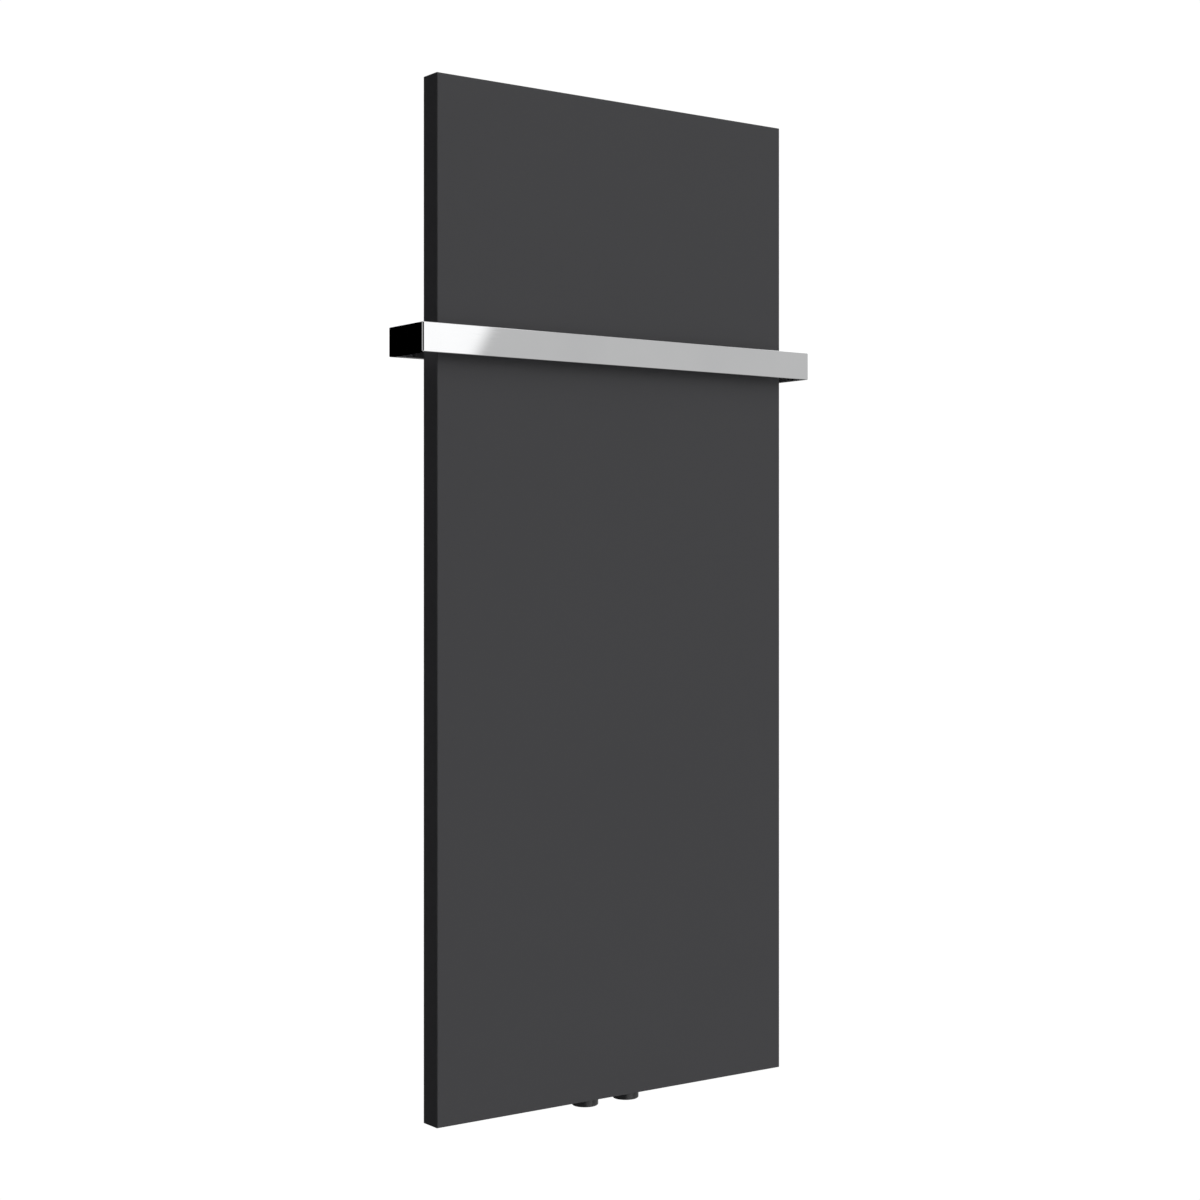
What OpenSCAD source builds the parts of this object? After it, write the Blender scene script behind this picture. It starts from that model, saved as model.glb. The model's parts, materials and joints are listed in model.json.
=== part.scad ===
// Vertical flat-panel hot-water radiator with a wrap-round towel rail.
//
// Frame: X runs to the right seen from the front, Y runs from the room into the wall, Z is up.
// The origin is the middle of the four wall fixings, in the plane of the wall (Y = 0), so the
// whole radiator lies at Y < 0 and its visible front faces -Y. All sizes are in millimetres.
//
// Build-up, from the room to the wall: a folded steel cover, six flat-oval water tubes behind it,
// a header across their backs at the top and at the bottom, a hanger welded to each end of each
// header, and four wall supports whose studs the hangers drop over.

/* [Cover panel] */
// Width of the folded front panel
panel_w = 420; // [410:1:430]
// Height of the folded front panel
panel_h = 990; // [980:1:1010]
// Depth of the folded edge
panel_d = 25; // [24:0.5:27]
// Sheet thickness of the front panel
sheet_t = 1.5; // [1.2:0.1:1.6]
// Outside radius of the folds round the front face
fold_r = 1.2; // [1:0.1:2]
// Distance from the wall to the front face of the panel
front_gap = 80; // [76:1:90]

/* [Water register] */
// Width of one flat-oval tube
tube_w = 60; // [54:1:62]
// Thickness of one flat-oval tube
tube_t = 10; // [9:0.5:10]
// Wall thickness of the tubes
tube_wall = 1.5; // [1.2:0.1:2]
// Depth of the headers, front to back
header_d = 24; // [22:0.5:26]
// Height of the headers
header_h = 30; // [28:1:32]
// Wall thickness of the headers
header_wall = 2; // [1.5:0.1:2.5]
// Bare height between the panel's edge and the nearer header face
end_room = 25; // [25:0.5:26]

/* [Water connections] */
// Spacing of the two connections, supply on the left
boss_pitch = 50; // [45:1:60]
// Outside diameter of a connection boss
boss_od = 26.5; // [25:0.1:27]
// Major diameter of the G1/2 thread
thread_d = 20.96; // [20.9:0.01:21]
// Length of the G1/2 thread
thread_l = 15; // [13:0.5:18]
// How far a boss stands out below the panel
boss_drop = 9; // [6:0.5:14]
// Depth of the boss centres behind the front face
boss_depth = 22.5; // [21.5:0.5:23]

/* [Towel rail] */
// Height of the flat bar
rail_h = 28; // [25:0.5:32]
// Thickness of the flat bar
rail_t = 6; // [5:0.5:7]
// Gap between the rail's inner face and the front of the panel
rail_gap = 10.5; // [9:0.5:16]
// Gap between the rail and each side of the panel
rail_side_gap = 20; // [16:0.5:26]
// Height of the rail's middle above the middle of the panel
rail_z = 244; // [200:1:270]
// Outside radius of the rail's bent corners
rail_corner_r = 2; // [1.5:0.1:3]

/* [Wall supports] */
// Sideways spacing of the wall fixings
fix_x = 260; // [250:1:262]
// Upright spacing of the wall fixings
fix_z = 900; // [896:0.5:904]
// Diameter of the clearance hole for a wall screw
fix_hole_d = 6.5; // [5.5:0.1:7]
// Diameter of the stem on a wall base
stem_d = 16; // [15:0.5:17]
// Outside diameter of an adjusting sleeve
sleeve_d = 24; // [23:0.5:28]

/* [Hidden] */

$fn = 64;
arc_steps = 8;   // straight steps in a quarter turn of a folded edge
slack = 1;       // how far a cutter runs past the face that it cuts
fit = 0.08;      // radial clearance of a turning or sliding fit
snug = 0.05;     // radial clearance of a thread's plain stand-in
lead_in = 0.5;   // chamfer at the tip of a screw

// Colours
paint = "#46474a";
chrome = "#d8dadc";
zinc = "#b9bcbd";
brass = "#c9a85a";
black = "#1c1c1d";
cream = "#e9e7df";

// Planes of the build-up, as Y
panel_front = -front_gap;
panel_back = panel_front + panel_d;
tube_front = panel_front + sheet_t;
tube_back = tube_front + tube_t;
header_back = tube_back + header_d;
header_mid = tube_back + header_d / 2;
boss_y = panel_front + boss_depth;

// Levels of the build-up, as Z
panel_top = panel_h / 2;
flange_z = panel_top - sheet_t;
header_top = panel_top - end_room;
header_mid_z = header_top - header_h / 2;

// Register
tube_count = 6;
tube_pitch = tube_w + 6;
register_w = tube_count * tube_pitch;
port_r = 6;
boss_port_r = 8;
boss_chamfer = 0.8;
cap_t = 2;

// Cover fixing
lip_w = 6;
fold_inner_r = 0.3;
cover_x_top = 100;
cover_x_bottom = 120;
cover_strip_w = 20;
cover_strip_t = 2;
cover_strip_foot = 12;
cover_strip_back = tube_back + 12.5;
cover_strip_front = panel_front + 6;
cover_screw_y = panel_front + 14;
cover_screw_r = 1.95;
cover_screw_l = 8;
cover_hole_r = 2.1;
cover_seat_r = 2.4;
cover_head_r = 3.95;
cover_seat_play = 0.1;
cover_head_sink = 0.05;
cover_key_af = 2.5;
cover_key_floor = 0.1;
cover_nut_h = 3.2;
cover_nut_af = 7;

// Air vent on the top header
vent_x = 150;
vent_y = header_mid;
vent_boss_h = 5;
vent_boss_r = 11;
vent_port_r = 4;
vent_thread_r = 6.5;
vent_thread_start = 1;
vent_thread_chamfer = 0.6;
vent_hole_r = vent_thread_r + 0.1;
vent_seal_r = vent_boss_r - 2;
vent_seal_t = 1;
vent_hex_af = 18;
vent_hex_h = 5;
vent_collar_r = 6;
vent_lip_r = 6.5;
vent_lip_t = 0.8;
vent_ring_r = 8.6;
vent_ring_h = 5;
vent_play = 0.1;
vent_nozzle_r = 2.4;
vent_nozzle_l = 16;
vent_bore_r = 3;
vent_seat_r = 1.2;
vent_seat_z = header_top + 4.5;
vent_cross_r = 1;
vent_tip_r = 1;
vent_tip_l = 2;
vent_tip_lift = 0.5;
vent_key = 5;
vent_key_h = 3;
vent_seal_z = header_top + vent_boss_h;
vent_hex_z = vent_seal_z + vent_seal_t;
vent_collar_z = vent_hex_z + vent_hex_h;
vent_ring_z = vent_collar_z + vent_play;
vent_lip_z = vent_ring_z + vent_ring_h + vent_play;
vent_top_z = vent_lip_z + vent_lip_t;

// Openings in the panel's flanges
boss_notch_r = boss_od / 2 + 1.5;
vent_notch_w = 26;
vent_notch_front = vent_y - vent_notch_w / 2;
vent_notch_corner_r = 1;

// Hangers and wall supports
base_flange_r = 17;
base_flange_t = 4;
stem_front = -24;
base_bore_r = 6;
base_bore_l = 8;
base_chamfer = 1;
stem_chamfer = 0.6;
sleeve_back = -8;
sleeve_front = -32;
sleeve_cap_t = 4;
sleeve_chamfer = 1;
stud_neck_r = 4;
stud_neck_l = 4.5;
stud_head_r = 8;
stud_head_t = 3;
stud_chamfer = 0.8;
stud_tail_r = 3;
stud_tail_l = 3.5;
stud_key_af = 5;
stud_key_depth = 2;
lock_screw_r = 2.5;
lock_screw_y = -13;
lock_screw_gap = 0.3;
lock_key_af = 2.5;
lock_key_depth = 2;
hanger_t = 3;
hanger_w = 40;
hanger_bend_r = 4;
hanger_above_top = 15;
hanger_below_top = 30;
hanger_above_bottom = 20;
hanger_below_bottom = 8;
hanger_back = sleeve_front - 0.5;
hanger_front = hanger_back - hanger_t;
slot_r = stud_neck_r + 0.25;
slot_rest = 0.1;
keyhole_r = stud_head_r + 0.5;
keyhole_drop = 16;

// Towel rail and its brackets
rail_front = panel_front - rail_gap - rail_t;
rail_out = panel_w / 2 + rail_side_gap + rail_t;
rail_back = panel_back + 21;
rail_leg_x = 148;
rail_pad_t = 1;
rail_bracket_t = 3;
rail_bracket_x = 165;
rail_bracket_w = 34;
rail_bracket_h = 26;
rail_foot_l = 18;
rail_screw_dx = 9;
rail_screw_r = 2.45;
rail_hole_r = 2.75;
rail_head_r = 4.75;
rail_head_t = 2.75;
rail_tail_l = 1.5;
rail_key_af = 3;
rail_key_depth = 2;
rail_nut_af = 8;
rail_nut_h = 4;
rail_pad_back = rail_back - rail_t;
rail_pad_front = rail_pad_back - rail_pad_t;
rail_land_front = rail_pad_front - rail_bracket_t;

// ---- Helpers ----

// Points of an arc about (cx, cy), from angle a to angle b
function arc(cx, cy, r, a, b, steps = arc_steps) =
    [for (i = [0:steps]) let (t = a + (b - a) * i / steps) [cx + r * cos(t), cy + r * sin(t)]];

// Radius across the corners of a hexagon from its width across the flats
function hex_r(af) = af / 2 / cos(30);

// A flat outline drawn in X and Z, made solid between two planes of Y
module between_y(y1, y2) {
    translate([0, y2, 0])
        rotate([90, 0, 0])
            linear_extrude(y2 - y1) children();
}

// A flat outline drawn in Y (across) and Z (up), made solid between two planes of X
module between_x(x1, x2) {
    translate([x1, 0, 0])
        rotate([90, 0, 90])
            linear_extrude(x2 - x1) children();
}

// A round rod or hole along Y
module rod_y(x, z, r, y1, y2) {
    translate([x, y2, z])
        rotate([90, 0, 0])
            cylinder(h = y2 - y1, r = r);
}

// A turned piece whose axis lies along Y: the outline is drawn as radius and Y
module turned_y(x, z) {
    translate([x, 0, z])
        rotate([-90, 0, 0])
            rotate_extrude() children();
}

// A box given by its lowest and highest corners
module box(low, high) {
    translate(low)
        cube(high - low);
}

// ---- Cover panel ----

// Rectangle with its front edge at y = 0 and its two front corners rounded
module front_rounded(w, d, r) {
    polygon(concat(
        arc(-w / 2 + r, r, r, 180, 270),
        arc(w / 2 - r, r, r, 270, 360),
        [[w / 2, d], [-w / 2, d]]
    ));
}

// Solid block with all four front edges rounded
module tray_block(w, h, d, r) {
    intersection() {
        translate([0, 0, -h / 2])
            linear_extrude(h) front_rounded(w, d, r);
        translate([-w / 2, 0, 0])
            rotate([0, 90, 0])
                linear_extrude(w) front_rounded(h, d, r);
    }
}

// U-shaped notch for a boss, open to the rear, centred on y = 0
module notch(r, open) {
    linear_extrude(3 * sheet_t, center = true)
        polygon(concat(arc(0, 0, r, 180, 360, 2 * arc_steps), [[r, open], [-r, open]]));
}

// Countersunk holes for the cover screws
module cover_screw_places() {
    for (side = [-1, 1]) {
        translate([side * cover_x_top, cover_screw_y, flange_z])
            children();
        translate([side * cover_x_bottom, cover_screw_y, -flange_z])
            mirror([0, 0, 1])
                children();
    }
}

module front_panel() {
    inner_w = panel_w - 2 * sheet_t;
    inner_h = panel_h - 2 * sheet_t;
    opening_w = panel_w - 2 * lip_w;
    color(paint)
        difference() {
            translate([0, panel_front, 0])
                tray_block(panel_w, panel_h, panel_d, fold_r);
            translate([0, tube_front, 0])
                tray_block(inner_w, inner_h, panel_d - 2 * sheet_t, fold_inner_r);
            box([-opening_w / 2, panel_back - 2 * sheet_t, -inner_h / 2],
                [opening_w / 2, panel_back + slack, inner_h / 2]);
            for (side = [-1, 1])
                translate([side * boss_pitch / 2, boss_y, -flange_z])
                    notch(boss_notch_r, panel_back - boss_y + slack);
            translate([vent_x, vent_notch_front, flange_z])
                linear_extrude(3 * sheet_t, center = true)
                    front_rounded(vent_notch_w, panel_back - vent_notch_front + slack,
                                  vent_notch_corner_r);
            cover_screw_places()
                cylinder(h = sheet_t, r1 = cover_seat_r + cover_seat_play,
                         r2 = cover_head_r + cover_seat_play);
        }
}

// ---- Water register ----

// Flat-oval outline, centred
module oval(w, t) {
    end = w / 2 - t / 2;
    polygon(concat(
        arc(end, 0, t / 2, -90, 90, 2 * arc_steps),
        arc(-end, 0, t / 2, 90, 270, 2 * arc_steps)
    ));
}

function tube_x(i) = (i - (tube_count + 1) / 2) * tube_pitch;

// One water tube, with a port to each header in its back
module flat_tube(i) {
    color(paint)
        difference() {
            translate([tube_x(i), (tube_front + tube_back) / 2, -header_top])
                linear_extrude(2 * header_top) oval(tube_w, tube_t);
            translate([tube_x(i), (tube_front + tube_back) / 2, -header_top - slack])
                linear_extrude(2 * (header_top + slack))
                    oval(tube_w - 2 * tube_wall, tube_t - 2 * tube_wall);
            for (level = [-header_mid_z, header_mid_z])
                rod_y(tube_x(i), level, port_r, tube_back - 2 * tube_wall, tube_back + slack);
        }
}

// Plates that close both ends of the six tubes
module tube_end_caps() {
    color(paint)
        for (i = [1:tube_count], low = [-header_top, header_top - tube_wall])
            translate([tube_x(i), (tube_front + tube_back) / 2, low])
                linear_extrude(tube_wall)
                    oval(tube_w - 2 * tube_wall, tube_t - 2 * tube_wall);
}

// Rectangular tube across the backs of the water tubes, centred on a level
module header(level) {
    length = register_w - 2 * cap_t;
    difference() {
        box([-length / 2, tube_back, level - header_h / 2],
            [length / 2, header_back, level + header_h / 2]);
        box([-length / 2 - slack, tube_back + header_wall, level - header_h / 2 + header_wall],
            [length / 2 + slack, header_back - header_wall, level + header_h / 2 - header_wall]);
        for (i = [1:tube_count])
            rod_y(tube_x(i), level, port_r, tube_back - slack, tube_back + 2 * header_wall);
    }
}

module top_header() {
    color(paint)
        difference() {
            header(header_mid_z);
            translate([vent_x, vent_y, header_top - 2 * header_wall])
                cylinder(h = 3 * header_wall, r = vent_port_r);
        }
}

module bottom_header() {
    color(paint)
        difference() {
            header(-header_mid_z);
            for (side = [-1, 1])
                translate([side * boss_pitch / 2, boss_y, -header_top - header_wall])
                    cylinder(h = 3 * header_wall, r = boss_port_r);
        }
}

// Plates welded over both ends of both headers
module header_end_caps() {
    color(paint)
        for (side = [-1, 1], level = [-header_mid_z, header_mid_z])
            translate([side * (register_w - cap_t) / 2, header_mid, level])
                cube([cap_t, header_d, header_h], center = true);
}

// Plate that parts the supply half of the bottom header from the return half
module flow_divider() {
    color(zinc)
        translate([0, header_mid, -header_mid_z])
            cube([cap_t, header_d - 2 * header_wall, header_h - 2 * header_wall], center = true);
}

// Turned boss with a G1/2 socket opening downwards
module boss(side) {
    mouth = -panel_top - boss_drop;
    color(paint)
        translate([side * boss_pitch / 2, boss_y, 0])
            rotate_extrude()
                polygon([
                    [thread_d / 2, mouth],
                    [boss_od / 2 - boss_chamfer, mouth],
                    [boss_od / 2, mouth + boss_chamfer],
                    [boss_od / 2, -header_top],
                    [boss_port_r, -header_top],
                    [boss_port_r, mouth + thread_l],
                    [thread_d / 2, mouth + thread_l]
                ]);
}

// ---- Air vent ----

module vent_boss() {
    color(paint)
        translate([vent_x, vent_y, header_top])
            difference() {
                cylinder(h = vent_boss_h, r = vent_boss_r);
                translate([0, 0, -slack])
                    cylinder(h = vent_boss_h + 2 * slack, r = vent_hole_r);
            }
}

module vent_seal() {
    color(black)
        translate([vent_x, vent_y, vent_seal_z])
            difference() {
                cylinder(h = vent_seal_t, r = vent_seal_r);
                translate([0, 0, -slack])
                    cylinder(h = vent_seal_t + 2 * slack, r = vent_hole_r);
            }
}

// Screwed plug that carries the spout on its collar and the valve spindle in its bore
module vent_plug() {
    tail_z = header_top + vent_thread_start;
    color(brass)
        translate([vent_x, vent_y, 0])
            difference() {
                union() {
                    rotate_extrude()
                        polygon([
                            [0, tail_z],
                            [vent_thread_r - vent_thread_chamfer, tail_z],
                            [vent_thread_r, tail_z + vent_thread_chamfer],
                            [vent_thread_r, vent_collar_z],
                            [vent_collar_r, vent_collar_z],
                            [vent_collar_r, vent_lip_z],
                            [vent_lip_r, vent_lip_z],
                            [vent_collar_r, vent_top_z],
                            [0, vent_top_z]
                        ]);
                    translate([0, 0, vent_hex_z])
                        cylinder(h = vent_hex_h, r = hex_r(vent_hex_af), $fn = 6);
                }
                translate([0, 0, header_top - slack])
                    cylinder(h = vent_top_z, r = vent_seat_r);
                translate([0, 0, vent_seat_z])
                    cylinder(h = vent_top_z, r = vent_bore_r);
                rod_y(0, vent_ring_z + vent_ring_h / 2, vent_cross_r, vent_bore_r - slack,
                      vent_lip_r + slack);
            }
}

// Swivelling plastic ring with a nozzle, which points to the wall at rest
module vent_spout() {
    color(cream)
        translate([vent_x, vent_y, vent_ring_z])
            difference() {
                union() {
                    cylinder(h = vent_ring_h, r = vent_ring_r);
                    rod_y(0, vent_ring_h / 2, vent_nozzle_r, vent_collar_r + 1, vent_nozzle_l);
                }
                translate([0, 0, -slack])
                    cylinder(h = vent_ring_h + 2 * slack, r = vent_collar_r + fit);
                rod_y(0, vent_ring_h / 2, vent_seat_r, vent_collar_r - slack, vent_nozzle_l + slack);
            }
}

// Valve needle with a square head for the bleed key
module vent_spindle() {
    tip_z = vent_seat_z + vent_tip_lift;
    color(zinc)
        translate([vent_x, vent_y, 0]) {
            rotate_extrude()
                polygon([
                    [0, tip_z],
                    [vent_tip_r, tip_z],
                    [vent_bore_r - fit, tip_z + vent_tip_l],
                    [vent_bore_r - fit, vent_top_z + vent_play],
                    [0, vent_top_z + vent_play]
                ]);
            translate([-vent_key / 2, -vent_key / 2, vent_top_z + vent_play])
                cube([vent_key, vent_key, vent_key_h]);
        }
}

// ---- Fixing of the cover to the register ----

// C-shaped strip between a header and the panel's flange
module cover_strip() {
    t = cover_strip_t;
    difference() {
        between_x(-cover_strip_w / 2, cover_strip_w / 2)
            polygon([
                [cover_strip_back - cover_strip_foot, header_top],
                [cover_strip_back, header_top],
                [cover_strip_back, flange_z],
                [cover_strip_front, flange_z],
                [cover_strip_front, flange_z - t],
                [cover_strip_back - t, flange_z - t],
                [cover_strip_back - t, header_top + t],
                [cover_strip_back - cover_strip_foot, header_top + t]
            ]);
        translate([0, cover_screw_y, flange_z - 2 * t])
            cylinder(h = 3 * t, r = cover_hole_r);
    }
}

module cover_bracket(side, level) {
    color(paint)
        translate([side * (level > 0 ? cover_x_top : cover_x_bottom), 0, 0])
            mirror([0, 0, level > 0 ? 0 : 1])
                cover_strip();
}

module cover_screws() {
    color(zinc)
        cover_screw_places()
            difference() {
                rotate_extrude()
                    polygon([
                        [0, -cover_screw_l],
                        [cover_screw_r - lead_in, -cover_screw_l],
                        [cover_screw_r, lead_in - cover_screw_l],
                        [cover_screw_r, 0],
                        [cover_seat_r, 0],
                        [cover_head_r, sheet_t - cover_head_sink],
                        [0, sheet_t - cover_head_sink]
                    ]);
                translate([0, 0, cover_key_floor])
                    cylinder(h = sheet_t, r = hex_r(cover_key_af), $fn = 6);
            }
}

module cover_nuts() {
    color(zinc)
        cover_screw_places()
            translate([0, 0, -cover_strip_t - cover_nut_h])
                difference() {
                    cylinder(h = cover_nut_h, r = hex_r(cover_nut_af), $fn = 6);
                    translate([0, 0, -slack])
                        cylinder(h = cover_nut_h + 2 * slack, r = cover_screw_r + snug);
                }
}

// ---- Hangers and wall supports ----

// U-shaped strap welded to the back of a header, between two levels
module hanger_strap(low, high) {
    w = hanger_w / 2;
    r = hanger_bend_r;
    inner_r = r - hanger_t;
    translate([0, 0, low])
        linear_extrude(high - low)
            polygon(concat(
                [[w, header_back]],
                arc(w - r, hanger_back - r, r, 0, 90),
                arc(-w + r, hanger_back - r, r, 90, 180),
                [[-w, header_back], [-w + hanger_t, header_back]],
                arc(-w + r, hanger_back - r, inner_r, 180, 90),
                arc(w - r, hanger_back - r, inner_r, 90, 0),
                [[w - hanger_t, header_back]]
            ));
}

// Keyhole: the stud's head passes its round end, and the stud's neck rests in its slot
module keyhole() {
    top = fix_z / 2 + slot_rest - (slot_r - stud_neck_r);
    big = fix_z / 2 - keyhole_drop;
    mouth = asin(slot_r / keyhole_r);
    between_y(hanger_front - slack, hanger_back + slack)
        polygon(concat(
            arc(0, top, slot_r, 0, 180, 2 * arc_steps),
            arc(0, big, keyhole_r, 90 + mouth, 450 - mouth, 5 * arc_steps)
        ));
}

// Upright slot, open downwards, that drops over the lower stud
module fork_slot(low) {
    between_y(hanger_front - slack, hanger_back + slack)
        polygon(concat(
            arc(0, -fix_z / 2, slot_r, 0, 180, 2 * arc_steps),
            [[-slot_r, low - slack], [slot_r, low - slack]]
        ));
}

module hanger_top(side) {
    color(paint)
        translate([side * fix_x / 2, 0, 0])
            difference() {
                hanger_strap(fix_z / 2 - hanger_below_top, fix_z / 2 + hanger_above_top);
                keyhole();
            }
}

module hanger_bottom(side) {
    low = -fix_z / 2 - hanger_below_bottom;
    color(paint)
        translate([side * fix_x / 2, 0, 0])
            difference() {
                hanger_strap(low, -fix_z / 2 + hanger_above_bottom);
                fork_slot(low);
            }
}

// Shouldered stud screwed into the front of a sleeve
module hook_stud(side, level) {
    neck_front = sleeve_front - stud_neck_l;
    head_front = neck_front - stud_head_t;
    color(zinc)
        difference() {
            turned_y(side * fix_x / 2, level * fix_z / 2)
                polygon([
                    [0, head_front],
                    [stud_head_r - stud_chamfer, head_front],
                    [stud_head_r, head_front + stud_chamfer],
                    [stud_head_r, neck_front],
                    [stud_neck_r, neck_front],
                    [stud_neck_r, sleeve_front],
                    [stud_tail_r, sleeve_front],
                    [stud_tail_r, sleeve_front + stud_tail_l],
                    [0, sleeve_front + stud_tail_l]
                ]);
            translate([side * fix_x / 2, head_front + stud_key_depth, level * fix_z / 2])
                rotate([90, 0, 0])
                    cylinder(h = stud_key_depth + slack, r = hex_r(stud_key_af), $fn = 6);
        }
}

// Sleeve that slides on a wall base's stem to set the distance to the wall
module sleeve(side, level) {
    inner = stem_d / 2 + fit;
    color(paint)
        difference() {
            turned_y(side * fix_x / 2, level * fix_z / 2)
                polygon([
                    [stud_tail_r + snug, sleeve_front],
                    [sleeve_d / 2 - sleeve_chamfer, sleeve_front],
                    [sleeve_d / 2, sleeve_front + sleeve_chamfer],
                    [sleeve_d / 2, sleeve_back],
                    [inner, sleeve_back],
                    [inner, sleeve_front + sleeve_cap_t],
                    [stud_tail_r + snug, sleeve_front + sleeve_cap_t]
                ]);
            translate([side * fix_x / 2, lock_screw_y, level * fix_z / 2 - sleeve_d / 2 - slack])
                cylinder(h = sleeve_d / 2, r = lock_screw_r + snug);
        }
}

// Socket screws that clamp the sleeves on the stems, from below
module lock_screws() {
    length = sleeve_d / 2 - stem_d / 2 - lock_screw_gap;
    color(zinc)
        for (side = [-1, 1], level = [-1, 1])
            translate([side * fix_x / 2, lock_screw_y, level * fix_z / 2 - sleeve_d / 2])
                difference() {
                    cylinder(h = length, r = lock_screw_r);
                    translate([0, 0, -slack])
                        cylinder(h = lock_key_depth + slack, r = hex_r(lock_key_af), $fn = 6);
                }
}

// Flanged stem, screwed to the wall through its own bore
module wall_base(side, level) {
    color(zinc)
        turned_y(side * fix_x / 2, level * fix_z / 2)
            polygon([
                [fix_hole_d / 2, 0],
                [base_flange_r, 0],
                [base_flange_r, base_chamfer - base_flange_t],
                [base_flange_r - base_chamfer, -base_flange_t],
                [stem_d / 2, -base_flange_t],
                [stem_d / 2, stem_front + stem_chamfer],
                [stem_d / 2 - stem_chamfer, stem_front],
                [base_bore_r, stem_front],
                [base_bore_r, stem_front + base_bore_l],
                [fix_hole_d / 2, stem_front + base_bore_l]
            ]);
}

// ---- Towel rail ----

module rail_screw_places() {
    for (side = [-1, 1], dx = [-rail_screw_dx, rail_screw_dx])
        translate([side * rail_bracket_x + dx, 0, rail_z])
            children();
}

// Flat bar that runs across the front, back along both sides and in behind the panel
module towel_rail() {
    r = rail_corner_r;
    color(chrome)
        difference() {
            translate([0, 0, rail_z - rail_h / 2])
                linear_extrude(rail_h)
                    polygon(concat(
                        arc(-rail_out + r, rail_front + r, r, 180, 270),
                        arc(rail_out - r, rail_front + r, r, 270, 360),
                        arc(rail_out - r, rail_back - r, r, 0, 90),
                        [
                            [rail_leg_x, rail_back],
                            [rail_leg_x, rail_back - rail_t],
                            [rail_out - rail_t, rail_back - rail_t],
                            [rail_out - rail_t, rail_front + rail_t],
                            [-rail_out + rail_t, rail_front + rail_t],
                            [-rail_out + rail_t, rail_back - rail_t],
                            [-rail_leg_x, rail_back - rail_t],
                            [-rail_leg_x, rail_back]
                        ],
                        arc(-rail_out + r, rail_back - r, r, 90, 180)
                    ));
            rail_screw_places()
                rod_y(0, 0, rail_hole_r, rail_pad_back - slack, rail_back + slack);
        }
}

// Hat-shaped bracket welded to the back of an outer tube
module rail_bracket(side) {
    t = rail_bracket_t;
    low = rail_z - rail_bracket_h / 2;
    high = rail_z + rail_bracket_h / 2;
    color(paint)
        difference() {
            translate([side * rail_bracket_x, 0, 0])
                between_x(-rail_bracket_w / 2, rail_bracket_w / 2)
                    polygon([
                        [tube_back, low - rail_foot_l],
                        [tube_back + t, low - rail_foot_l],
                        [tube_back + t, low],
                        [rail_pad_front, low],
                        [rail_pad_front, high],
                        [tube_back + t, high],
                        [tube_back + t, high + rail_foot_l],
                        [tube_back, high + rail_foot_l],
                        [tube_back, high - t],
                        [rail_land_front, high - t],
                        [rail_land_front, low + t],
                        [tube_back, low + t]
                    ]);
            rail_screw_places()
                rod_y(0, 0, rail_hole_r, rail_land_front - slack, rail_pad_front + slack);
        }
}

// Thin pad that keeps the chrome off the painted bracket
module rail_pad(side) {
    color(black)
        difference() {
            box([side * rail_bracket_x - rail_bracket_w / 2, rail_pad_front,
                 rail_z - rail_bracket_h / 2],
                [side * rail_bracket_x + rail_bracket_w / 2, rail_pad_back,
                 rail_z + rail_bracket_h / 2]);
            rail_screw_places()
                rod_y(0, 0, rail_hole_r, rail_pad_front - slack, rail_pad_back + slack);
        }
}

// Button-head screws, put in from the wall side
module rail_screws() {
    tail = rail_land_front - rail_nut_h - rail_tail_l;
    color(zinc)
        rail_screw_places()
            difference() {
                turned_y(0, 0)
                    polygon([
                        [0, tail],
                        [rail_screw_r - lead_in, tail],
                        [rail_screw_r, tail + lead_in],
                        [rail_screw_r, rail_back],
                        [rail_head_r, rail_back],
                        [0.92 * rail_head_r, rail_back + 0.45 * rail_head_t],
                        [0.6 * rail_head_r, rail_back + rail_head_t],
                        [0, rail_back + rail_head_t]
                    ]);
                translate([0, rail_back + rail_head_t + slack, 0])
                    rotate([90, 0, 0])
                        cylinder(h = rail_key_depth + slack, r = hex_r(rail_key_af), $fn = 6);
            }
}

module rail_nuts() {
    color(zinc)
        rail_screw_places()
            translate([0, rail_land_front, 0])
                rotate([90, 0, 0])
                    difference() {
                        cylinder(h = rail_nut_h, r = hex_r(rail_nut_af), $fn = 6);
                        translate([0, 0, -slack])
                            cylinder(h = rail_nut_h + 2 * slack, r = rail_screw_r + snug);
                    }
}

// ---- Assembly ----

front_panel();
flat_tube(1);  // flat_tube_1
flat_tube(2);  // flat_tube_2
flat_tube(3);  // flat_tube_3
flat_tube(4);  // flat_tube_4
flat_tube(5);  // flat_tube_5
flat_tube(6);  // flat_tube_6
tube_end_caps();
top_header();
bottom_header();
header_end_caps();
flow_divider();
boss(-1);  // supply_boss
boss(1);  // return_boss
vent_boss();
vent_seal();
vent_plug();
vent_spout();
vent_spindle();
cover_bracket(-1, 1);  // cover_bracket_top_left
cover_bracket(1, 1);  // cover_bracket_top_right
cover_bracket(-1, -1);  // cover_bracket_bottom_left
cover_bracket(1, -1);  // cover_bracket_bottom_right
cover_screws();
cover_nuts();
hanger_top(-1);  // hanger_top_left
hanger_top(1);  // hanger_top_right
hanger_bottom(-1);  // hanger_bottom_left
hanger_bottom(1);  // hanger_bottom_right
hook_stud(-1, 1);  // hook_stud_top_left
hook_stud(1, 1);  // hook_stud_top_right
hook_stud(-1, -1);  // hook_stud_bottom_left
hook_stud(1, -1);  // hook_stud_bottom_right
sleeve(-1, 1);  // sleeve_top_left
sleeve(1, 1);  // sleeve_top_right
sleeve(-1, -1);  // sleeve_bottom_left
sleeve(1, -1);  // sleeve_bottom_right
lock_screws();
wall_base(-1, 1);  // wall_base_top_left
wall_base(1, 1);  // wall_base_top_right
wall_base(-1, -1);  // wall_base_bottom_left
wall_base(1, -1);  // wall_base_bottom_right
towel_rail();
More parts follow.
